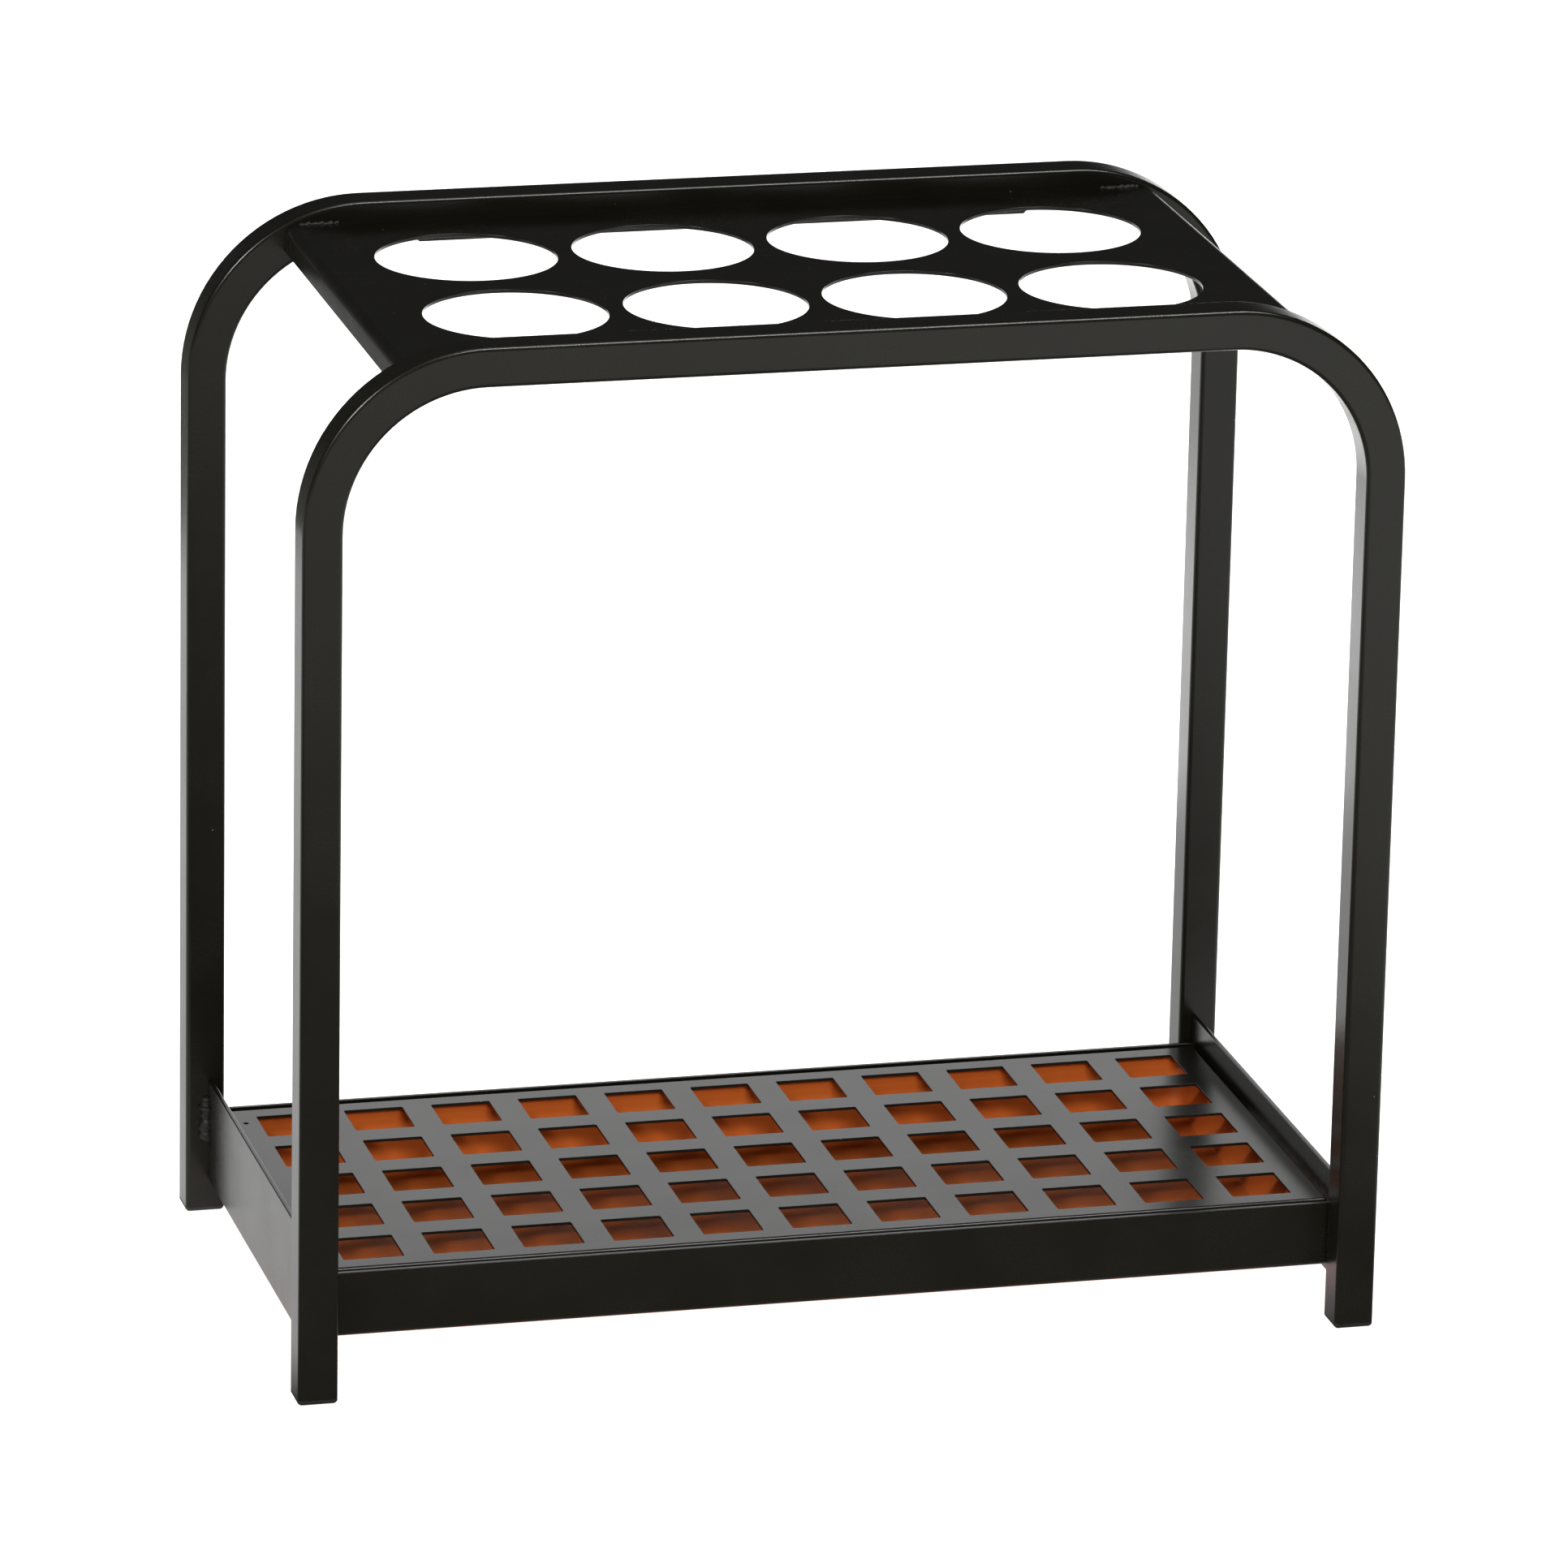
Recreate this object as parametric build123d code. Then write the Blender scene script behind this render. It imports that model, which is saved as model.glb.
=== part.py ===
from build123d import *
import os

# A free-standing umbrella stand. Two hoops of bent square tube carry a plate with round holes
# for the umbrellas, and a low welded base holds a drip tray under a perforated grid plate.
# Millimetres. +Z is up, +X to the right along the hoops, +Y from the front hoop to the rear one.
# The origin is on the floor, in the middle of the stand.

# ---- overall sizes ----
overall_width = 440.0
overall_depth = 240.0
overall_height = 425.0

# ---- hoops: welded square steel tube, bent cold ----
tube_side = 16.0
tube_wall = 1.2
tube_corner = 1.8
bend_radius = 64.0          # to the tube's centre line

# ---- foot plugs ----
foot_flange = 2.0
foot_edge = 0.9
plug_depth = 15.0
plug_core_gap = 0.9         # between the plug's core and the tube's bore
plug_rib = 1.3
plug_ribs = 3

# ---- umbrella plate ----
plate_sheet = 1.5
plate_drop = 8.3            # from the top of the hoops down to the plate
plate_setback = 39.5        # from the outside of the legs in to the plate's ends
plate_end_flange = 11.0
plate_end_bend = 4.0        # outside radius
plate_corner_relief = 2.0
hole_diameter = 72.5
hole_web_x = 7.5
hole_web_y = 14.5
hole_least_margin = 20.0
lip_inset = 47.5            # from the ends of the turned-down strip in to the ends of its lip
lip_below_tube = 1.2

# ---- base: side plates and rails ----
side_sheet = 2.0
side_offset = 1.0           # outside face of a side plate, inwards from the tube's centre
side_bottom = 14.0
side_height = 43.0
rail_sheet = 2.0
rail_bend = 3.0             # outside radius
rail_bottom = 19.5
rail_height = 27.0
rail_gap = 4.5              # between a rail and the legs beside it
ledge_width = 18.0

# ---- grid plate ----
grid_sheet = 1.2
grid_flange = 5.0
grid_end_gap = 1.6          # to the side plates
grid_rail_gap = 3.0         # to the rails
grid_hole = 24.5
grid_hole_corner = 0.8
grid_pitch = 36.5
grid_least_margin = 9.0
hanging_hole = 2.2
hanging_hole_in_x = 7.0
hanging_hole_in_y = 16.5

# ---- drip tray ----
tray_wall = 2.0
tray_gap = 0.6              # between the tray's rim and the grid plate's flanges
tray_lip = 5.0
tray_slope_run = 6.0
tray_corner = 9.0

# ---- weld beads ----
side_bead = 4.5
side_bead_length = 20.0
side_bead_drop = 6.0        # from the top of the side plate
rail_bead = 2.2
plate_bead = 1.6
plate_bead_length = 16.0
bead_pitch = 2.5
bead_crest = 1.2            # a ripple's crest, against the size at its ends

# ---- what follows from those sizes ----
half_width = overall_width / 2
tube_bore = tube_side - 2 * tube_wall
leg_x = half_width - tube_side / 2
leg_y = (overall_depth - tube_side) / 2
leg_inner_y = leg_y - tube_side / 2
tube_bottom = overall_height - tube_side

plate_top = overall_height - plate_drop
plate_half = half_width - plate_setback
plate_depth = 2 * leg_inner_y

side_outer_x = leg_x - side_offset
side_inner_x = side_outer_x - side_sheet
rail_outer_y = leg_inner_y - rail_gap
rail_inner_y = rail_outer_y - rail_sheet
ledge_top = rail_bottom + rail_sheet

grid_top = rail_bottom + rail_height
grid_half_x = side_inner_x - grid_end_gap
grid_half_y = rail_inner_y - grid_rail_gap

tray_top = grid_top - grid_sheet
tray_half_x = grid_half_x - grid_sheet - tray_gap
tray_half_y = grid_half_y - grid_sheet - tray_gap


def box_between(low, high):
    """A block from one corner to the opposite one."""
    size = [b - a for a, b in zip(low, high)]
    middle = [(a + b) / 2 for a, b in zip(low, high)]
    return Pos(*middle) * Box(*size)


def fitting_count(space, item, web, least_margin):
    """How many items, a web apart, fit in a space with at least a margin at both ends."""
    return max(1, int((space - 2 * least_margin + web) / (item + web)))


def spread(count, pitch):
    """Centred positions along a line."""
    return [(i - (count - 1) / 2) * pitch for i in range(count)]


def tube_section(plane):
    """The hollow square of the tube, in the plane across its path."""
    outside = plane * RectangleRounded(tube_side, tube_side, tube_corner)
    inside = plane * RectangleRounded(tube_bore, tube_bore, tube_corner - tube_wall)
    return outside - inside


def hoop(y):
    """One inverted U of tube, both legs ending on their foot plugs."""
    shoulder = overall_height - tube_side / 2
    start, end = Vector(-leg_x, y, foot_flange), Vector(leg_x, y, foot_flange)
    corners = [start, Vector(-leg_x, y, shoulder), Vector(leg_x, y, shoulder), end]
    path = FilletPolyline(*corners, radius=bend_radius)
    return sweep(tube_section(Plane(origin=start, z_dir=(0, 0, 1))), path=path)


def foot(x, y):
    """A plug with a flat foot under the tube's end and ribs that grip its bore."""
    flange = extrude(Pos(x, y, 0) * RectangleRounded(tube_side, tube_side, tube_corner), foot_flange)
    flange = chamfer(flange.edges().group_by(Axis.Z)[0], foot_edge)
    core_side = tube_bore - 2 * plug_core_gap
    plug = flange + box_between(
        (x - core_side / 2, y - core_side / 2, foot_flange),
        (x + core_side / 2, y + core_side / 2, foot_flange + plug_depth))
    rib_pitch = plug_depth / plug_ribs
    for i in range(plug_ribs):
        rib_base = foot_flange + (i + 0.5) * rib_pitch
        outline = Pos(x, y, rib_base) * RectangleRounded(tube_bore, tube_bore, tube_corner - tube_wall)
        plug += extrude(outline, plug_rib)
    return plug


def umbrella_plate():
    """The holed plate: ends rolled down, long edges turned down against the hoops."""
    pitch_x, pitch_y = hole_diameter + hole_web_x, hole_diameter + hole_web_y
    columns = fitting_count(2 * plate_half, hole_diameter, hole_web_x, hole_least_margin)
    rows = fitting_count(plate_depth, hole_diameter, hole_web_y, hole_least_margin)

    end_bottom = plate_top - plate_end_flange
    outer = box_between((-plate_half, -leg_inner_y, end_bottom), (plate_half, leg_inner_y, plate_top))
    outer = fillet(outer.edges().filter_by(Axis.Y).group_by(Axis.Z)[-1], plate_end_bend)
    inner_half = plate_half - plate_sheet
    inner = box_between(
        (-inner_half, -leg_inner_y, end_bottom), (inner_half, leg_inner_y, plate_top - plate_sheet))
    inner = fillet(inner.edges().filter_by(Axis.Y).group_by(Axis.Z)[-1], plate_end_bend - plate_sheet)
    plate = outer - inner

    flange_half = plate_half - plate_end_bend - plate_corner_relief
    lip_half = flange_half - lip_inset
    lip_bottom = tube_bottom - lip_below_tube
    outline = [(-flange_half, plate_top - plate_sheet), (-flange_half, tube_bottom),
               (-lip_half, tube_bottom), (-lip_half + lip_below_tube, lip_bottom),
               (lip_half - lip_below_tube, lip_bottom), (lip_half, tube_bottom),
               (flange_half, tube_bottom), (flange_half, plate_top - plate_sheet)]
    face = Plane.XZ * make_face(Polyline(*outline, close=True))
    for back in (leg_inner_y, -leg_inner_y + plate_sheet):
        plate += Pos(0, back, 0) * extrude(face, plate_sheet)

    for x in spread(columns, pitch_x):
        for y in spread(rows, pitch_y):
            plate -= Pos(x, y, plate_top) * Cylinder(hole_diameter / 2, 2 * plate_end_flange)
    return plate


def side_plate(side):
    """A flat plate on edge between the legs at one end of the base."""
    near, far = sorted((side * side_inner_x, side * side_outer_x))
    return box_between(
        (near, -leg_inner_y, side_bottom), (far, leg_inner_y, side_bottom + side_height))


def rail(side):
    """An angle from side plate to side plate, its ledge turned in under the drip tray."""
    outline = [(rail_outer_y, grid_top), (rail_outer_y, rail_bottom),
               (rail_outer_y - ledge_width, rail_bottom), (rail_outer_y - ledge_width, ledge_top),
               (rail_inner_y, ledge_top), (rail_inner_y, grid_top)]
    face = make_face(Polyline(*outline, close=True))
    heel = [v for v in face.vertices() if (v.X, v.Y) == (rail_outer_y, rail_bottom)]
    face = fillet(heel, rail_bend)
    toe = [v for v in face.vertices() if (v.X, v.Y) == (rail_inner_y, ledge_top)]
    face = fillet(toe, rail_bend - rail_sheet)
    bar = extrude(Plane.YZ * face, side_inner_x, both=True)
    return bar if side > 0 else mirror(bar, Plane.XZ)


def grid_plate():
    """The lift-out grid: square holes in rows, all four edges turned down round the tray."""
    columns = fitting_count(2 * grid_half_x, grid_hole, grid_pitch - grid_hole, grid_least_margin)
    rows = fitting_count(2 * grid_half_y, grid_hole, grid_pitch - grid_hole, grid_least_margin)
    bottom = grid_top - grid_flange
    plate = box_between((-grid_half_x, -grid_half_y, bottom), (grid_half_x, grid_half_y, grid_top))
    plate = fillet(plate.edges().filter_by(Axis.Z), grid_sheet)
    plate -= box_between(
        (grid_sheet - grid_half_x, grid_sheet - grid_half_y, bottom),
        (grid_half_x - grid_sheet, grid_half_y - grid_sheet, grid_top - grid_sheet))
    square = RectangleRounded(grid_hole, grid_hole, grid_hole_corner)
    holes = [Pos(x, y, tray_top) * square for x in spread(columns, grid_pitch)
             for y in spread(rows, grid_pitch)]
    plate -= extrude(Sketch() + holes, grid_sheet)
    hole_at = Pos(hanging_hole_in_x - grid_half_x, grid_half_y - hanging_hole_in_y, grid_top)
    return plate - hole_at * Cylinder(hanging_hole / 2, 2 * grid_flange)


def pan(half_x, half_y, corner, bottom, top):
    """A solid with sloped sides below and an upright lip above."""
    knee = tray_top - tray_lip
    low = Pos(0, 0, bottom) * RectangleRounded(
        2 * (half_x - tray_slope_run), 2 * (half_y - tray_slope_run), corner)
    high = Pos(0, 0, knee) * RectangleRounded(2 * half_x, 2 * half_y, corner)
    return loft([low.face(), high.face()]) + extrude(high, top - knee)


def drip_tray():
    """The plastic tray: sloped walls up to an upright lip that carries the grid plate."""
    outer = pan(tray_half_x, tray_half_y, tray_corner, ledge_top, tray_top)
    inner = pan(tray_half_x - tray_wall, tray_half_y - tray_wall, tray_corner - tray_wall,
                ledge_top + tray_wall, tray_top)
    return outer - inner


def bead(size, length):
    """A weld bead along Z in the corner between the X and Y faces, as a row of ripples."""
    ripples = max(2, round(length / bead_pitch))
    step = length / ripples
    corner = make_face(Line((0, 0), (size, 0)) + Line((size, 0), (0, size)) + Line((0, size), (0, 0)))
    crest = scale(corner, bead_crest)
    lumps = []
    for i in range(ripples):
        low, middle, high = (Pos(0, 0, step * (i + part)) for part in (0, 0.5, 1))
        lumps.append(loft([(low * corner).face(), (middle * crest).face()]))
        lumps.append(loft([(middle * crest).face(), (high * corner).face()]))
    return Part() + lumps


def side_plate_welds():
    """Four beads outside the side plates, in the corners that they make with the legs."""
    run = bead(side_bead, side_bead_length)
    base = side_bottom + side_height - side_bead_drop - side_bead_length
    first = Pos(side_outer_x, leg_inner_y, base) * mirror(run, Plane.XZ)
    pair = [first, mirror(first, Plane.XZ)]
    return Compound(pair + [mirror(item, Plane.YZ) for item in pair])


def rail_welds():
    """Four beads in the corners between the rails' outer faces and the side plates."""
    run = bead(rail_bead, rail_height - 2 * rail_bend)
    first = Pos(side_inner_x, rail_outer_y, rail_bottom + rail_bend) * mirror(run, Plane.YZ)
    pair = [first, mirror(first, Plane.XZ)]
    return Compound(pair + [mirror(item, Plane.YZ) for item in pair])


def plate_welds():
    """Beads on top of the umbrella plate, where it meets the hoops near its four corners."""
    run = Rot(0, 90, 0) * bead(plate_bead, plate_bead_length)
    start = plate_half - plate_end_bend - plate_corner_relief - plate_bead_length
    first = Pos(start, leg_inner_y, plate_top) * Rot(180, 0, 0) * run
    pair = [first, mirror(first, Plane.XZ)]
    return Compound(pair + [mirror(item, Plane.YZ) for item in pair])


nodes = {
    "front_hoop": hoop(-leg_y),
    "rear_hoop": hoop(leg_y),
    "front_left_foot": foot(-leg_x, -leg_y),
    "front_right_foot": foot(leg_x, -leg_y),
    "rear_left_foot": foot(-leg_x, leg_y),
    "rear_right_foot": foot(leg_x, leg_y),
    "umbrella_plate": umbrella_plate(),
    "left_side_plate": side_plate(-1),
    "right_side_plate": side_plate(1),
    "front_rail": rail(-1),
    "rear_rail": rail(1),
    "grid_plate": grid_plate(),
    "drip_tray": drip_tray(),
    "side_plate_welds": side_plate_welds(),
    "rail_welds": rail_welds(),
    "plate_welds": plate_welds(),
}

os.makedirs("parts", exist_ok=True)
for name, shape in nodes.items():
    export_step(shape, f"parts/{name}.step")
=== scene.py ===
import math

import bmesh
import bpy
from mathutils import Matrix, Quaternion, Vector


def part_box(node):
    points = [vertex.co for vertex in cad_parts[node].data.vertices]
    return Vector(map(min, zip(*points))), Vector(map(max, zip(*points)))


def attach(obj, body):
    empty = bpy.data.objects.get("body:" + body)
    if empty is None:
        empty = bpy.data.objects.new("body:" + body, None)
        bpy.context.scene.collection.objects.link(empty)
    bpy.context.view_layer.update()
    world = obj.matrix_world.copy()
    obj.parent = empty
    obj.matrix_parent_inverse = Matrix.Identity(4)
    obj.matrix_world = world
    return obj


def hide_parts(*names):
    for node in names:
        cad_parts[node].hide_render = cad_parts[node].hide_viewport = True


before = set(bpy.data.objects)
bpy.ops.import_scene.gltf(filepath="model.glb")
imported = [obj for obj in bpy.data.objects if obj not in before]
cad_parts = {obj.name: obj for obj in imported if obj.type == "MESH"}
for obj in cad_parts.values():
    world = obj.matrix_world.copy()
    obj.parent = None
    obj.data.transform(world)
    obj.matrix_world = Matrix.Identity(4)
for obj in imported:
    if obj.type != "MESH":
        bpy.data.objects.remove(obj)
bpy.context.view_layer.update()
scene = bpy.context.scene

# ---- The room ----
# A seamless pale floor and a white surround. Small soft lights at the left and the front shape the
# black steel, a strip hangs above and a low light stands behind the base. The floor has a light of
# its own. In reflections only, the floor's colour is painted near black in bands in front of and
# behind the stand and dimmed everywhere else, so the coat mirrors it only dimly: painted reflection
# shade in place of black card.
camera_bearing = math.radians(-14.8)
camera_height_angle = math.radians(17.8)
camera_roll = math.radians(1.17)
camera_distance = 4.07
camera_aim = Vector((0.002, -0.003, 0.205))

camera_sensor = 36.0        # millimetres, as is the lens
camera_lens = 233.4
camera_reach = 60.0

camera = bpy.data.objects.new("camera", bpy.data.cameras.new("camera"))
camera.data.sensor_width = camera_sensor
camera.data.lens = camera_lens
camera.data.clip_end = camera_reach
camera_back = Vector((
    math.sin(camera_bearing) * math.cos(camera_height_angle),
    -math.cos(camera_bearing) * math.cos(camera_height_angle),
    math.sin(camera_height_angle)))
camera.location = camera_aim + camera_back * camera_distance
camera.rotation_mode = "QUATERNION"
level_view = (-camera_back).to_track_quat("-Z", "Y")
camera.rotation_quaternion = level_view @ Quaternion((0, 0, 1), camera_roll)
scene.collection.objects.link(camera)
scene.camera = camera
scene.view_settings.view_transform = "Standard"


class Wire:
    """The output of a node. Arithmetic on it adds Math nodes to its tree."""

    def __init__(self, net, socket):
        self.net = net
        self.socket = socket

    def math(self, operation, *values):
        return self.net.node("ShaderNodeMath", dict(enumerate(values)), operation=operation)

    def __add__(self, other):
        return self.math("ADD", self, other)

    def __sub__(self, other):
        return self.math("SUBTRACT", self, other)

    def __rsub__(self, other):
        return self.math("SUBTRACT", other, self)

    def __mul__(self, other):
        return self.math("MULTIPLY", self, other)

    __radd__ = __add__
    __rmul__ = __mul__


class Net:
    """A node tree that is drawn up one node at a time."""

    def __init__(self, tree):
        self.tree = tree
        tree.nodes.clear()

    def plug(self, socket, value):
        """Sets a socket to a value, or links it to a wire, or to several wires."""
        if isinstance(value, list):
            for item in value:
                self.plug(socket, item)
        elif isinstance(value, Wire):
            self.tree.links.new(value.socket, socket)
        else:
            socket.default_value = value

    def node(self, kind, sockets=(), out=0, **settings):
        """Adds a node, sets it, plugs its sockets, and gives one of its outputs."""
        made = self.tree.nodes.new(kind)
        for name, value in settings.items():
            setattr(made, name, value)
        for key, value in dict(sockets).items():
            self.plug(made.inputs[key], value)
        return Wire(self, made.outputs[out]) if made.outputs else None


class Finish(Net):
    """A material: one Principled shader whose colour, roughness and bump vary in its nodes."""

    def __init__(self, name):
        self.material = bpy.data.materials.new(name)
        self.material.use_nodes = True
        super().__init__(self.material.node_tree)
        self.shader = self.tree.nodes.new("ShaderNodeBsdfPrincipled")
        self.node("ShaderNodeOutputMaterial", {"Surface": Wire(self, self.shader.outputs[0])})
        self.place = self.node("ShaderNodeTexCoord", out="Object")

    def noise(self, size, detail=2.0):
        """Soft noise, 0 to 1, whose features are about this many metres across."""
        sockets = {"Vector": self.place, "Scale": 1 / size, "Detail": detail}
        return self.node("ShaderNodeTexNoise", sockets)

    def ramp(self, value, low, high):
        """0 below low, 1 above high, and smooth between them."""
        sockets = {0: value, 1: low, 2: high}
        return self.node("ShaderNodeMapRange", sockets, interpolation_type="SMOOTHSTEP")

    def blend(self, share, first, second):
        """From the first colour to the second."""
        return self.node("ShaderNodeMix", {0: share, 6: first, 7: second}, out=2, data_type="RGBA")

    def relief(self, height, depth):
        """A bump of that depth in metres where the height goes from 0 to 1."""
        bump = self.node("ShaderNodeBump", {"Height": height, "Distance": depth, "Strength": 1.0})
        self.plug(self.shader.inputs["Normal"], bump)

    def set(self, **values):
        """Sets or links the shader's sockets, by name with _ for a space."""
        for name, value in values.items():
            self.plug(self.shader.inputs[name.replace("_", " ")], value)


def piece_from(name, shell):
    """A new object at the origin from a bmesh, which is then freed."""
    mesh = bpy.data.meshes.new(name)
    shell.to_mesh(mesh)
    shell.free()
    piece = bpy.data.objects.new(name, mesh)
    scene.collection.objects.link(piece)
    return piece


floor_size = 40.0
floor_cells = 8
floor_shell = bmesh.new()
bmesh.ops.create_grid(
    floor_shell, x_segments=floor_cells, y_segments=floor_cells, size=floor_size / 2)
floor = piece_from("floor", floor_shell)

paper_cloud_size = 0.9
paper_dark = (0.84, 0.84, 0.84, 1)
paper_light = (0.87, 0.87, 0.87, 1)
reflection_shade_black = (0.06, 0.06, 0.055, 1)
reflection_shade_everywhere = 0.36      # how far the floor is painted dark in reflections everywhere, outside the painted bands
front_reflection_shade_start = (0.04, 0.16)     # metres in front of the stand's middle
front_reflection_shade_end = (0.45, 1.25)
front_reflection_shade_fade = 0.9       # how much of the front band of painted reflection shade is gone past its end
back_reflection_shade_start = (1.00, 1.20)      # metres behind the stand's middle
right_gap = (0.10, 0.50)    # metres to the right, over which the painted reflection shade thins out
right_gap_share = 0.75

paper = Finish("pale_floor")
pale = paper.blend(paper.ramp(paper.noise(paper_cloud_size), 0.3, 0.7), paper_dark, paper_light)
to_the_right = paper.node("ShaderNodeSeparateXYZ", {0: paper.place})
behind = paper.node("ShaderNodeSeparateXYZ", {0: paper.place}, out=1)
ahead = 0 - behind
# Painted reflection shade: seen only in reflections, the floor goes near black in a band in front
# of the stand and one behind it, and dims everywhere, less towards the right.
front_reflection_shade = paper.ramp(ahead, *front_reflection_shade_start) * (
    1 - paper.ramp(ahead, *front_reflection_shade_end) * front_reflection_shade_fade)
painted_reflection_shade = reflection_shade_everywhere + front_reflection_shade + paper.ramp(behind, *back_reflection_shade_start)
painted_reflection_shade = painted_reflection_shade * (1 - paper.ramp(to_the_right, *right_gap) * right_gap_share)
painted_reflection_shade = painted_reflection_shade * paper.node("ShaderNodeLightPath", out="Is Glossy Ray")
paper.set(Base_Color=paper.blend(painted_reflection_shade, pale, reflection_shade_black))
paper.set(Roughness=0.9, Specular_IOR_Level=0.2)
floor.data.materials.append(paper.material)


def lit_only(name, state):
    """A light group for the floor: the light reaches only the floor, or all but the floor."""
    group = bpy.data.collections.new(name)
    group.objects.link(floor)
    group.collection_objects[0].light_linking.link_state = state
    return group


floor_alone = lit_only("floor_alone", "INCLUDE")
not_the_floor = lit_only("not_the_floor", "EXCLUDE")


def soft_light(name, place, aim, width, height, radiance, lights, gloss=True, fill=True):
    """A rectangular soft light that the camera doesn't see.

    Without gloss it makes no highlight, and without fill it makes only highlights."""
    lamp = bpy.data.lights.new(name, "AREA")
    lamp.shape = "RECTANGLE"
    lamp.size, lamp.size_y = width, height
    lamp.energy = radiance * math.pi * width * height
    light = bpy.data.objects.new(name, lamp)
    light.location = place
    light.rotation_euler = (Vector(aim) - Vector(place)).to_track_quat("-Z", "Y").to_euler()
    light.visible_camera = False
    light.visible_glossy = gloss
    light.visible_diffuse = fill
    light.light_linking.receiver_collection = lights
    scene.collection.objects.link(light)


stand_middle = (0.0, 0.0, 0.2)
key_place = (-1.50, -0.85, 1.56)
soft_light("key_light", key_place, stand_middle, 0.30, 0.30, 44.0, not_the_floor)
soft_light("edge_light", key_place, stand_middle, 0.24, 0.24, 130.0, not_the_floor, fill=False)
soft_light(
    "front_light", (-0.30, -2.4, 1.24), stand_middle, 0.7, 0.3, 50.0, not_the_floor, gloss=False)
soft_light(
    "low_front_light", (-0.30, -2.4, 0.30), stand_middle, 0.6, 0.14, 48.0, not_the_floor,
    gloss=False)
soft_light("overhead_light", (0.2, -0.2, 2.4), stand_middle, 1.8, 1.8, 1.0, not_the_floor)
soft_light(
    "top_strip", (0.53, -0.66, 2.3), stand_middle, 1.6, 0.16, 55.0, not_the_floor, fill=False)
soft_light("low_back_light", (0.20, 0.55, 0.21), (0.20, 0.0, 0.21), 0.9, 0.42, 1.3, not_the_floor)
soft_light("floor_light", (0.0, 0.5, 3.0), (0.0, 0.5, 0.0), 5.0, 5.0, 1.6, floor_alone)

wash_energy = 4.2
wash_angle = math.radians(60)
wash = bpy.data.objects.new("floor_wash", bpy.data.lights.new("floor_wash", "SUN"))
wash.data.energy = wash_energy
wash.data.angle = wash_angle
wash.light_linking.receiver_collection = floor_alone
wash.light_linking.blocker_collection = floor_alone
scene.collection.objects.link(wash)

surround_glow = 0.04        # the light that the surround sheds; it looks white by itself
world = bpy.data.worlds.new("surround")
world.use_nodes = True
scene.world = world
sky = Net(world.node_tree)
seen = sky.node("ShaderNodeLightPath", out="Is Camera Ray")
shown = sky.node("ShaderNodeBackground", {
    "Color": (1.0, 1.0, 1.0, 1.0), "Strength": seen * (1 - surround_glow) + surround_glow})
sky.node("ShaderNodeOutputWorld", {"Surface": shown})

# ---- The two hoops ----
# Each hoop is one length of welded square steel tube, bent cold into an inverted U and powder
# coated satin black. The tube is modelled hollow, and its open ends stand on the foot plugs.
tube_wall = 0.0012
tube_corner = 0.0018
bend_radius = 0.064
bend_steps = 26
corner_arc_steps = 6


class GeometryNet(Net):
    """A Geometry Nodes tree with named inputs and one geometry output."""

    def __init__(self, name, **inputs):
        super().__init__(bpy.data.node_groups.new(name, "GeometryNodeTree"))
        sides = self.tree.interface
        sides.new_socket("Geometry", in_out="INPUT", socket_type="NodeSocketGeometry")
        for label, kind in inputs.items():
            sides.new_socket(label, in_out="INPUT", socket_type="NodeSocket" + kind)
        sides.new_socket("Geometry", in_out="OUTPUT", socket_type="NodeSocketGeometry")
        self.source = self.tree.nodes.new("NodeGroupInput")

    def given(self, label):
        """The wire of a named input."""
        return Wire(self, self.source.outputs[label])

    def geometry(self, kind, sockets, **settings):
        """A node that makes or changes geometry."""
        return self.node("GeometryNode" + kind, sockets, **settings)

    def finish(self, shape):
        """Ends the tree: real geometry with its material set."""
        real = self.geometry("RealizeInstances", {0: shape})
        made = self.geometry("SetMaterial", {0: real, "Material": self.given("Material")})
        self.node("NodeGroupOutput", {0: made})

    def put_on(self, piece, **values):
        """Runs the tree on a piece's mesh, and keeps the result as its plain mesh."""
        modifier = piece.modifiers.new("shape", "NODES")
        modifier.node_group = self.tree
        for item in self.tree.interface.items_tree:
            if item.in_out == "INPUT" and item.name in values:
                modifier[item.identifier] = values[item.name]
        keep_shape(piece)
        piece.data.materials.clear()
        piece.data.materials.append(values["Material"])


def keep_shape(piece):
    """Turns what a piece's modifiers make into its own plain mesh."""
    made = piece.evaluated_get(bpy.context.evaluated_depsgraph_get())
    mesh = bpy.data.meshes.new_from_object(made)
    piece.modifiers.clear()
    piece.data = mesh


merge_distance = 1e-6


def face_outwards(piece):
    """Merges doubled points and turns every face of a closed shell outwards."""
    shell = bmesh.new()
    shell.from_mesh(piece.data)
    bmesh.ops.remove_doubles(shell, verts=shell.verts, dist=merge_distance)
    bmesh.ops.recalc_face_normals(shell, faces=shell.faces)
    shell.to_mesh(piece.data)
    shell.free()


def ease_edges(piece, width, steps=2, sharper_than=28.0):
    """Rounds a piece's sharp edges a little and shades its flats flat and its bends smooth."""
    if width:
        bevel = piece.modifiers.new("edges", "BEVEL")
        bevel.width = width
        bevel.segments = steps
        bevel.limit_method = "ANGLE"
        bevel.angle_limit = math.radians(sharper_than)
        bevel.use_clamp_overlap = True
        bevel.miter_outer = "MITER_ARC"
    piece.data.polygons.foreach_set("use_smooth", [True] * len(piece.data.polygons))
    weighted = piece.modifiers.new("shading", "WEIGHTED_NORMAL")
    weighted.mode = "FACE_AREA"
    weighted.weight = 100
    keep_shape(piece)


speck_spacing = 0.011
speck_edge = (0.018, 0.032)         # a speck's soft edge, in shares of the spacing
speck_draw = (0.62, 0.64)           # cells drawn above this have a speck
coat_cloud_size = 0.035


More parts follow.
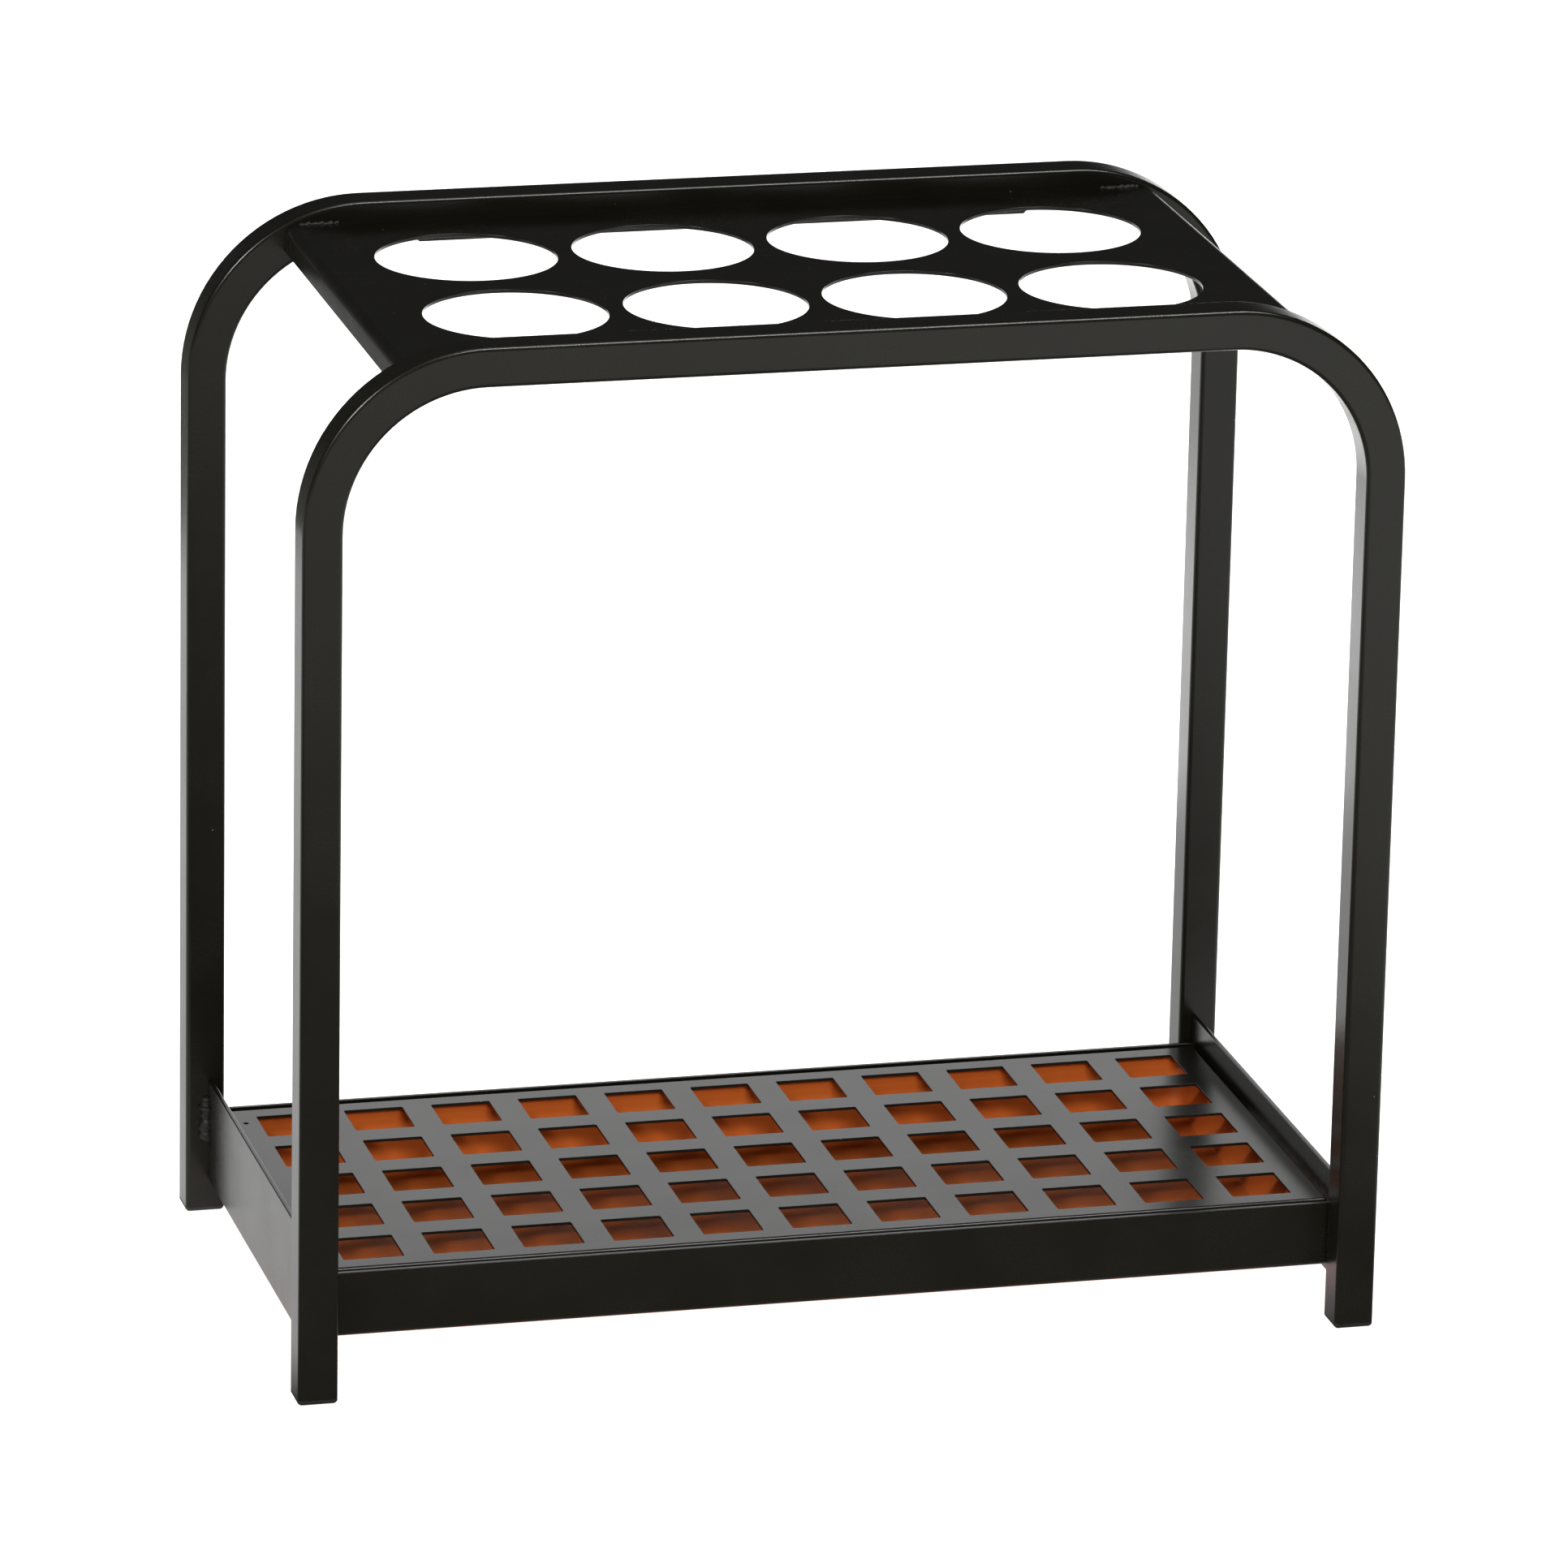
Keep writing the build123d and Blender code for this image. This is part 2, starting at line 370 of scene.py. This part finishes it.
def powder_coat(name, dark, light, peel_size, peel_depth, gloss, fleck=(0.20, 0.20, 0.19, 1)):
    """Satin powder coat: two close tones, orange peel, fine grain and a few specks of dust."""
    coat = Finish(name)
    peel = coat.noise(peel_size, detail=1.0)
    grain = coat.noise(peel_size / 4, detail=2.0)
    cloud = coat.ramp(coat.noise(coat_cloud_size, detail=3.0), 0.3, 0.7)
    tone = coat.blend(cloud * 0.7 + grain * 0.3, dark, light)
    cells = {"Vector": coat.place, "Scale": 1 / speck_spacing, "Randomness": 1.0}
    distance = coat.node("ShaderNodeTexVoronoi", cells)
    cell_colour = coat.node("ShaderNodeTexVoronoi", cells, out="Color")
    lottery = coat.node("ShaderNodeSeparateColor", {0: cell_colour})
    speck = (1 - coat.ramp(distance, *speck_edge)) * coat.ramp(lottery, *speck_draw)
    coat.set(Base_Color=coat.blend(speck, tone, fleck))
    coat.set(Roughness=gloss + (grain - 0.5) * 0.10 + (cloud - 0.5) * 0.04, IOR=1.35)
    coat.relief(peel * 0.8 + grain * 0.2, peel_depth)
    return coat.material


black_coat = powder_coat(
    "black_powder_coat", (0.0058, 0.0054, 0.0034, 1), (0.0080, 0.0076, 0.0050, 1),
    peel_size=0.0011, peel_depth=0.00003, gloss=0.25)

tube = GeometryNet(
    "bent_square_tube", Side="Float", Corner="Float", Bend="Float", Material="Material")
bent_path = tube.geometry("FilletCurve", {
    0: tube.geometry("MeshToCurve", {0: tube.given("Geometry")}),
    "Count": bend_steps, "Radius": tube.given("Bend")}, mode="POLY")
square = tube.geometry("CurvePrimitiveQuadrilateral", {
    "Width": tube.given("Side"), "Height": tube.given("Side")})
rounded_square = tube.geometry("FilletCurve", {
    0: square, "Count": corner_arc_steps, "Radius": tube.given("Corner")}, mode="POLY")
tube.finish(tube.geometry("CurveToMesh", {
    0: bent_path, "Profile Curve": rounded_square, "Fill Caps": False}))


def path_mesh(points):
    """A line of edges through some points."""
    shell = bmesh.new()
    corners = [shell.verts.new(p) for p in points]
    for first, second in zip(corners, corners[1:]):
        shell.edges.new((first, second))
    return shell


def make_hoop(node, name):
    """One hoop: a square tube along its bent path, with its wall turned inwards."""
    low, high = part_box(node)
    side = high.y - low.y
    left, right = low.x + side / 2, high.x - side / 2
    middle, shoulder = (low.y + high.y) / 2, high.z - side / 2
    route = [
        (left, middle, low.z), (left, middle, shoulder),
        (right, middle, shoulder), (right, middle, low.z)]
    hoop = piece_from(name, path_mesh(route))
    tube.put_on(hoop, Side=side, Corner=tube_corner, Bend=bend_radius, Material=black_coat)
    face_outwards(hoop)
    wall = hoop.modifiers.new("wall", "SOLIDIFY")
    wall.thickness = tube_wall
    wall.offset = -1.0
    keep_shape(hoop)
    ease_edges(hoop, width=0)
    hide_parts(node)
    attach(hoop, "frame")


for end in ("front", "rear"):
    make_hoop(f"{end}_hoop", f"{end}_hoop_tube")

# ---- The foot plugs ----
# A ribbed plug of black polypropylene is pressed into each open tube end. Only its flat foot
# shows, with a small chamfer on the floor side. The moulding has a fine sparked texture.
foot_edge = 0.00025
foot_black = (0.010, 0.010, 0.009, 1)
foot_scuffed = (0.020, 0.019, 0.018, 1)
spark_size = 0.0006
spark_depth = 0.00004
flat_angle = math.radians(0.6)      # faces closer to flat than this are made one

foot_plastic = Finish("black_polypropylene")
spark = foot_plastic.noise(spark_size, detail=3.0)
scuff = foot_plastic.ramp(foot_plastic.noise(0.004), 0.5, 0.75)
foot_plastic.set(Base_Color=foot_plastic.blend(scuff, foot_black, foot_scuffed))
foot_plastic.set(Roughness=0.50 + spark * 0.12)
foot_plastic.relief(spark, spark_depth)


def copy_node(node, name, material):
    """A copy of a CAD node's mesh as one merged shell whose flats are single faces."""
    shell = bmesh.new()
    shell.from_mesh(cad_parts[node].data)
    bmesh.ops.remove_doubles(shell, verts=shell.verts, dist=merge_distance)
    bmesh.ops.dissolve_limit(shell, angle_limit=flat_angle, verts=shell.verts, edges=shell.edges)
    piece = piece_from(name, shell)
    piece.data.materials.clear()
    piece.data.materials.append(material)
    return piece


for end in ("front", "rear"):
    for side in ("left", "right"):
        foot = copy_node(f"{end}_{side}_foot", f"{end}_{side}_foot_plug", foot_plastic.material)
        ease_edges(foot, width=foot_edge)
        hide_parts(f"{end}_{side}_foot")
        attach(foot, "frame")

# ---- The side plates ----
# A flat steel plate on edge joins the legs at each end of the base. Its edges are sheared and
# just broken with a file, so that they show as a thin bright line under the coat.
side_plate_edge = 0.0004

for side in ("left", "right"):
    side_plate = copy_node(f"{side}_side_plate", f"{side}_side_plate_steel", black_coat)
    ease_edges(side_plate, width=side_plate_edge)
    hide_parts(f"{side}_side_plate")
    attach(side_plate, "frame")

# ---- The rails ----
# A folded steel angle runs along the front and the back of the base, from side plate to side
# plate. Its upright hides the tray, and its ledge carries it.
rail_edge = 0.0003

for end in ("front", "rear"):
    rail = copy_node(f"{end}_rail", f"{end}_rail_angle", black_coat)
    ease_edges(rail, width=rail_edge)
    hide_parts(f"{end}_rail")
    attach(rail, "frame")

# ---- The weld beads ----
# Short runs of weld hold the side plates, the rails and the umbrella plate. Each run is a row of
# overlapping ripples of uneven size, lumpy under the coat, and trimmed flush with the steel.
cut_distance = 1e-7
voxels_to_a_bead = 11
bead_inset = 0.55           # of the bead's size, from the end of its run to its last ripple
side_bead_size = 0.0042
side_bead_ripple = 0.0016
rail_bead_size = 0.0021
rail_bead_ripple = 0.0011
plate_bead_size = 0.0015
plate_bead_ripple = 0.0009
plate_bead_length = 0.016

weld_coat = powder_coat(
    "coated_weld", (0.0050, 0.0046, 0.0036, 1), (0.0095, 0.0088, 0.0072, 1),
    peel_size=0.0009, peel_depth=0.00016, gloss=0.52, fleck=(0.30, 0.28, 0.24, 1))

bead = GeometryNet(
    "weld_bead", Size="Float", Ripple="Float", Seed="Int", Voxel="Float", Material="Material")
root = bead.geometry("MeshToCurve", {0: bead.given("Geometry")})
ripples = bead.geometry("CurveToPoints", {0: root, "Length": bead.given("Ripple")}, mode="LENGTH")


def uneven(low, high, offset):
    """A random number for each ripple."""
    sockets = {2: low, 3: high, 8: bead.given("Seed") + offset}
    return bead.node("FunctionNodeRandomValue", sockets, out=1, data_type="FLOAT")


lump_size = bead.given("Size") * uneven(0.62, 1.12, 0)
lump = bead.node("ShaderNodeCombineXYZ", {
    0: lump_size, 1: lump_size * uneven(0.75, 1.15, 7), 2: lump_size * uneven(0.35, 0.9, 13)})
lumps = bead.geometry("InstanceOnPoints", {
    0: ripples, "Instance": bead.geometry("MeshIcoSphere", {"Radius": 1.0, "Subdivisions": 3}),
    "Scale": lump})
volume = bead.geometry("MeshToVolume", {
    0: bead.geometry("RealizeInstances", {0: lumps}), "Voxel Size": bead.given("Voxel"),
    "Interior Band Width": bead.given("Voxel") * 4}, resolution_mode="VOXEL_SIZE")
bead.finish(bead.geometry("VolumeToMesh", {
    0: volume, "Voxel Size": bead.given("Voxel")}, resolution_mode="VOXEL_SIZE"))


def trim(shell, point, away):
    """Cuts a shell flat at a plane and closes the cut."""
    everything = shell.verts[:] + shell.edges[:] + shell.faces[:]
    cut = bmesh.ops.bisect_plane(
        shell, geom=everything, plane_co=point, plane_no=away, clear_outer=True,
        dist=cut_distance)
    rim = [e for e in cut["geom_cut"] if isinstance(e, bmesh.types.BMEdge)]
    bmesh.ops.holes_fill(shell, edges=rim, sides=0)


def weld_run(start, end, size, ripple, seed, faces):
    """One bead from start to end, trimmed at the steel's faces: a point and the way out of each."""
    run = piece_from(f"run_{seed}", path_mesh([start, end]))
    bead.put_on(
        run, Size=size, Ripple=ripple, Seed=seed, Voxel=size / voxels_to_a_bead,
        Material=weld_coat)
    shell = bmesh.new()
    shell.from_mesh(run.data)
    bmesh.ops.remove_doubles(shell, verts=shell.verts, dist=cut_distance)
    for point, away in faces:
        trim(shell, point, away)
    shell.to_mesh(run.data)
    shell.free()
    return run


def join_runs(runs, name, node):
    """Joins the runs of one group into its piece."""
    shell = bmesh.new()
    for run in runs:
        shell.from_mesh(run.data)
        bpy.data.objects.remove(run)
    beads = piece_from(name, shell)
    beads.data.materials.append(weld_coat)
    ease_edges(beads, width=0)
    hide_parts(node)
    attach(beads, "frame")


signs = ((-1, -1), (-1, 1), (1, -1), (1, 1))
plate_low, plate_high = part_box("right_side_plate")
bead_low, bead_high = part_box("side_plate_welds")
inset = side_bead_size * bead_inset
side_runs = []
for count, (sx, sy) in enumerate(signs):
    root_x, root_y = sx * plate_high.x, sy * plate_high.y
    side_runs.append(weld_run(
        (root_x, root_y, bead_low.z + inset), (root_x, root_y, bead_high.z - inset),
        side_bead_size, side_bead_ripple, 11 + count,
        [((root_x, 0, 0), (-sx, 0, 0)), ((0, root_y, 0), (0, sy, 0))]))
join_runs(side_runs, "side_plate_weld_beads", "side_plate_welds")

rail_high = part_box("rear_rail")[1]
bead_low, bead_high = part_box("rail_welds")
inset = rail_bead_size * bead_inset
rail_runs = []
for count, (sx, sy) in enumerate(signs):
    root_x, root_y = sx * plate_low.x, sy * rail_high.y
    rail_runs.append(weld_run(
        (root_x, root_y, bead_low.z + inset), (root_x, root_y, bead_high.z - inset),
        rail_bead_size, rail_bead_ripple, 31 + count,
        [((root_x, 0, 0), (sx, 0, 0)), ((0, root_y, 0), (0, -sy, 0))]))
join_runs(rail_runs, "rail_weld_beads", "rail_welds")

sheet_low, sheet_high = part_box("umbrella_plate")
bead_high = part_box("plate_welds")[1]
plate_runs = []
for count, (sx, sy) in enumerate(signs):
    root_y = sy * sheet_high.y
    outer_x, inner_x = sx * bead_high.x, sx * (bead_high.x - plate_bead_length)
    plate_runs.append(weld_run(
        (inner_x + sx * plate_bead_size / 2, root_y, sheet_high.z),
        (outer_x - sx * plate_bead_size / 2, root_y, sheet_high.z),
        plate_bead_size, plate_bead_ripple, 51 + count,
        [((0, 0, sheet_high.z), (0, 0, -1)), ((0, root_y, 0), (0, sy, 0))]))
join_runs(plate_runs, "plate_weld_beads", "plate_welds")

# ---- The umbrella plate ----
# Thin steel sheet with eight punched round holes. Its ends are rolled down, and a strip is turned
# down along each long edge and spot welded against the hoops. It is coated with the frame.
plate_sheet = 0.0015
plate_end_bend = 0.004
hole_diameter = 0.0725
hole_pitch = (0.080, 0.087)
hole_counts = (4, 2)
strip_relief = 0.006        # from the plate's end to the end of the turned-down strip
strip_bottom = 0.0077       # below the plate's top
lip_bottom = 0.0089
lip_half = 0.127
hole_steps = 24
plate_edge = 0.00025
near_plane = 1e-5           # a face this close to a plane lies on it

blank = GeometryNet(
    "perforated_sheet", Length="Float", Width="Float", Sheet="Float", Top="Float",
    Hole="Float", Hole_Corner="Float", Hole_Steps="Int", Pitch_X="Float", Pitch_Y="Float",
    Columns="Int", Rows="Int", Material="Material")
outline = blank.geometry("CurvePrimitiveQuadrilateral", {
    "Width": blank.given("Length"), "Height": blank.given("Width")})
sharp_punch = blank.geometry("CurvePrimitiveQuadrilateral", {
    "Width": blank.given("Hole"), "Height": blank.given("Hole")})
punch = blank.geometry("FilletCurve", {
    0: sharp_punch, "Count": blank.given("Hole_Steps"), "Radius": blank.given("Hole_Corner"),
    "Limit Radius": True}, mode="POLY")
centres = blank.geometry("MeshGrid", {
    "Size X": (blank.given("Columns") - 1) * blank.given("Pitch_X"),
    "Size Y": (blank.given("Rows") - 1) * blank.given("Pitch_Y"),
    "Vertices X": blank.given("Columns"), "Vertices Y": blank.given("Rows")})
punched = blank.geometry("RealizeInstances", {
    0: blank.geometry("InstanceOnPoints", {0: centres, "Instance": punch})})
further_cuts = blank.geometry("MeshToCurve", {0: blank.given("Geometry")})
cuts = blank.geometry("JoinGeometry", {0: [outline, punched, further_cuts]})
under = blank.geometry("FillCurve", {0: cuts}, mode="NGONS")
raised = blank.geometry("ExtrudeMesh", {
    0: under, "Offset": (0, 0, 1), "Offset Scale": blank.given("Sheet"), "Individual": False})
closed = blank.geometry("JoinGeometry", {0: [raised, blank.geometry("FlipFaces", {0: under})]})
welded = blank.geometry("MergeByDistance", {0: closed, "Distance": merge_distance})
height = blank.node("ShaderNodeCombineXYZ", {2: blank.given("Top") - blank.given("Sheet")})
blank.finish(blank.geometry("Transform", {0: welded, "Translation": height}))


def add_edge_strip(piece, outline_points, section, is_wall, around):
    """Replaces a sheet's plain edge by a formed one: a section carried along the outline.

    A point of the outline has its place and its outward direction; a point of the section has
    its distance outwards and its height."""
    shell = bmesh.new()
    shell.from_mesh(piece.data)
    bmesh.ops.delete(shell, geom=[f for f in shell.faces if is_wall(f)], context="FACES")
    rings = []
    for x, y, out_x, out_y in outline_points:
        rings.append([shell.verts.new((x + out_x * out, y + out_y * out, z)) for out, z in section])
    pairs = list(zip(rings, rings[1:]))
    if around:
        pairs.append((rings[-1], rings[0]))
    else:
        shell.faces.new(rings[0])
        shell.faces.new(rings[-1][::-1])
    for first, second in pairs:
        for i in range(len(section) - 1):
            shell.faces.new((first[i], first[i + 1], second[i + 1], second[i]))
    bmesh.ops.remove_doubles(shell, verts=shell.verts, dist=2e-6)
    bmesh.ops.recalc_face_normals(shell, faces=shell.faces)
    shell.to_mesh(piece.data)
    shell.free()


def bend_section(top, sheet, bend, flange, steps=6):
    """A sheet bent down through a right angle: its outside from the top, then its inside back."""
    angles = [math.pi / 2 * i / steps for i in range(steps + 1)]
    outside = [(bend * math.sin(a), top - bend * (1 - math.cos(a))) for a in angles]
    inner = bend - sheet
    under = top - sheet
    inside = [
        (inner * math.sin(a), under - inner * (1 - math.cos(a))) for a in reversed(angles)]
    return outside + [(bend, top - flange), (inner, top - flange)] + inside


plate_top = sheet_high.z
plate_flat = 2 * (sheet_high.x - plate_end_bend)
umbrella_plate = piece_from("umbrella_plate_sheet", bmesh.new())
blank.put_on(
    umbrella_plate, Length=plate_flat, Width=2 * sheet_high.y, Sheet=plate_sheet,
    Top=plate_top, Hole=hole_diameter, Hole_Corner=hole_diameter / 2, Hole_Steps=hole_steps,
    Pitch_X=hole_pitch[0], Pitch_Y=hole_pitch[1], Columns=hole_counts[0], Rows=hole_counts[1],
    Material=black_coat)
face_outwards(umbrella_plate)
end_section = bend_section(plate_top, plate_sheet, plate_end_bend, plate_top - sheet_low.z)
for sx in (-1, 1):
    end_x = sx * plate_flat / 2
    end_points = [(end_x, sy * sheet_high.y, sx, 0) for sy in (-1, 1)]
    add_edge_strip(
        umbrella_plate, end_points, end_section,
        lambda face: abs(face.calc_center_median().x - end_x) < near_plane, around=False)


def add_bar(shell, outline_points, near, far):
    """A closed bar whose outline, in X and Z, runs from one Y to another."""
    rings = [[shell.verts.new((x, y, z)) for x, z in outline_points] for y in (near, far)]
    shell.faces.new(rings[0])
    shell.faces.new(rings[1][::-1])
    for i in range(len(outline_points)):
        shell.faces.new((rings[0][i - 1], rings[0][i], rings[1][i], rings[1][i - 1]))


strips = bmesh.new()
strips.from_mesh(umbrella_plate.data)
strip_half = sheet_high.x - strip_relief
strip_top = plate_top - plate_sheet / 2
lip_chamfer = lip_bottom - strip_bottom
half_outline = [
    (lip_half - lip_chamfer, plate_top - lip_bottom), (lip_half, plate_top - strip_bottom),
    (strip_half, plate_top - strip_bottom), (strip_half, strip_top)]
strip_outline = half_outline + [(-x, z) for x, z in reversed(half_outline)]
for sy in (-1, 1):
    add_bar(strips, strip_outline, sy * (sheet_high.y - plate_sheet), sy * sheet_high.y)
bmesh.ops.recalc_face_normals(strips, faces=strips.faces)
strips.to_mesh(umbrella_plate.data)
strips.free()
ease_edges(umbrella_plate, width=plate_edge)
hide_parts("umbrella_plate")
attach(umbrella_plate, "frame")

# ---- The drip tray ----
# One moulding of orange polypropylene, with sloped walls, an upright lip and soft corners. It
# rests on the rails' ledges. The face is semi-gloss and a little mottled, with faint soft brown
# blotches of painted shade scattered at random.
tray_wall = 0.002
tray_lip = 0.005
tray_slope_run = 0.006
tray_corner = 0.009
tray_outer_bend = 0.003
tray_inner_bend = 0.001
tray_knee_bend = 0.002
tray_rim_drop = 0.0003      # from the rim's top down to where its rounding starts
tray_rim_round = 0.0004
tray_floor_margin = 0.040   # from the rim in to the outline of the flat floor
bright_orange = (0.61, 0.135, 0.024, 1)
deep_orange = (0.58, 0.125, 0.022, 1)
shade_blotch_orange = (0.38, 0.074, 0.015, 1)
shade_blotch_strength = 0.08

orange = Finish("orange_polypropylene")
mottle = orange.ramp(orange.noise(0.016, detail=3.0), 0.35, 0.70)
# Painted shade: soft brown blotches, scattered at random, darken the orange a little and also make
# it a little rougher.
shade_blotch = orange.ramp(orange.noise(0.007, detail=2.0), 0.55, 0.80)
warm = orange.blend(mottle, bright_orange, deep_orange)
orange.set(Base_Color=orange.blend(shade_blotch * shade_blotch_strength, warm, shade_blotch_orange))
orange.set(Roughness=0.46 + shade_blotch * 0.10 + orange.noise(0.002) * 0.05, Specular_IOR_Level=0.06)
orange.relief(orange.noise(0.0012, detail=2.0), 0.00003)


def eased_section(points, steps=4):
    """A section's points with each bend rounded: a point is (inset, height, radius)."""
    eased = [points[0][:2]]
    for before, here, after in zip(points, points[1:], points[2:]):
        corner = Vector(here[:2])
        back, on = Vector(before[:2]) - corner, Vector(after[:2]) - corner
        turn = back.angle(on)
        reach = here[2] / math.tan(turn / 2)
        first, last = corner + back.normalized() * reach, corner + on.normalized() * reach
        for i in range(steps + 1):
            t = i / steps
            eased.append(tuple((1 - t) ** 2 * first + 2 * t * (1 - t) * corner + t ** 2 * last))
    return eased + [points[-1][:2]]


def rounded_ring(shell, half_x, half_y, corner, z, steps=8):
    """Points round a rectangle with rounded corners."""
    ring = []
    for quarter in range(4):
        for i in range(steps + 1):
            angle = math.pi / 2 * (quarter + i / steps)
            side_x = 1 if quarter in (0, 3) else -1
            side_y = 1 if quarter in (0, 1) else -1
            ring.append(shell.verts.new((
                side_x * (half_x - corner) + corner * math.cos(angle),
                side_y * (half_y - corner) + corner * math.sin(angle), z)))
    return ring


tray_low, tray_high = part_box("drip_tray")
tray_knee = tray_high.z - tray_lip
floor_top = tray_low.z + tray_wall
rim_shoulder = tray_high.z - tray_rim_drop
outside = [
    (tray_floor_margin, tray_low.z, 0), (tray_slope_run, tray_low.z, tray_outer_bend),
    (0.0, tray_knee, tray_knee_bend), (0.0, rim_shoulder, 0)]
lip_top = [(tray_rim_round, tray_high.z), (tray_wall - tray_rim_round, tray_high.z)]
inside = [
    (tray_wall, rim_shoulder, 0), (tray_wall, tray_knee, tray_knee_bend),
    (tray_wall + tray_slope_run, floor_top, tray_inner_bend), (tray_floor_margin, floor_top, 0)]
tray_section = eased_section(outside) + lip_top + eased_section(inside)
tray_shell = bmesh.new()
rings = []
for inset, z in tray_section:
    is_inside = z > floor_top - merge_distance and inset > tray_wall - merge_distance
    corner = tray_corner - tray_wall * is_inside
    rings.append(rounded_ring(tray_shell, tray_high.x - inset, tray_high.y - inset, corner, z))
for first, second in zip(rings, rings[1:]):
    for i in range(len(first)):
        tray_shell.faces.new((first[i - 1], first[i], second[i], second[i - 1]))
tray_shell.faces.new(rings[0])
tray_shell.faces.new(rings[-1])
bmesh.ops.recalc_face_normals(tray_shell, faces=tray_shell.faces)
drip_tray = piece_from("drip_tray_moulding", tray_shell)
drip_tray.data.materials.append(orange.material)
ease_edges(drip_tray, width=0)
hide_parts("drip_tray")
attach(drip_tray, "drip_tray")

# ---- The grid plate ----
# A lift-out plate of thin steel, punched with five rows of eleven square holes and folded down
# all round, so that it sits on the tray's lip. The left rear corner has a small hanging hole.
grid_sheet = 0.0012
grid_hole = 0.0245
grid_hole_corner = 0.0008
grid_hole_steps = 4
grid_pitch = 0.0365
grid_counts = (11, 5)
grid_bend = 0.0016
grid_edge = 0.0003
corner_steps = 5
hanging_hole_radius = 0.0011
hanging_hole_points = 20
hanging_hole_inset = (0.007, 0.0165)

grid_coat = powder_coat(
    "grid_powder_coat", (0.0085, 0.0080, 0.0062, 1), (0.0125, 0.0118, 0.0092, 1),
    peel_size=0.0006, peel_depth=0.000006, gloss=0.25)

grid_low, grid_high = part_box("grid_plate")
hanging_x = grid_low.x + hanging_hole_inset[0]
hanging_y = grid_high.y - hanging_hole_inset[1]
turns = [2 * math.pi * i / hanging_hole_points for i in range(hanging_hole_points + 1)]
hanging_hole = path_mesh([
    (hanging_x + hanging_hole_radius * math.cos(turn),
     hanging_y + hanging_hole_radius * math.sin(turn), 0) for turn in turns])
bmesh.ops.remove_doubles(hanging_hole, verts=hanging_hole.verts, dist=merge_distance)
grid_plate = piece_from("grid_plate_sheet", hanging_hole)
flat_x, flat_y = grid_high.x - grid_bend, grid_high.y - grid_bend
blank.put_on(
    grid_plate, Length=2 * flat_x, Width=2 * flat_y, Sheet=grid_sheet,
    Top=grid_high.z, Hole=grid_hole, Hole_Corner=grid_hole_corner, Hole_Steps=grid_hole_steps,
    Pitch_X=grid_pitch, Pitch_Y=grid_pitch, Columns=grid_counts[0], Rows=grid_counts[1],
    Material=grid_coat)
face_outwards(grid_plate)
rim = []
for quarter in range(4):
    side_x = 1 if quarter in (0, 3) else -1
    side_y = 1 if quarter in (0, 1) else -1
    for i in range(corner_steps + 1):
        angle = math.pi / 2 * (quarter + i / corner_steps)
        rim.append((side_x * flat_x, side_y * flat_y, math.cos(angle), math.sin(angle)))


def on_grid_edge(face):
    """Whether a face is the blank's plain outer edge."""
    middle = face.calc_center_median()
    return abs(abs(middle.x) - flat_x) < near_plane or abs(abs(middle.y) - flat_y) < near_plane


add_edge_strip(
    grid_plate, rim, bend_section(grid_high.z, grid_sheet, grid_bend, grid_high.z - grid_low.z),
    on_grid_edge, around=True)
ease_edges(grid_plate, width=grid_edge, steps=3)
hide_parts("grid_plate")
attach(grid_plate, "grid_plate")
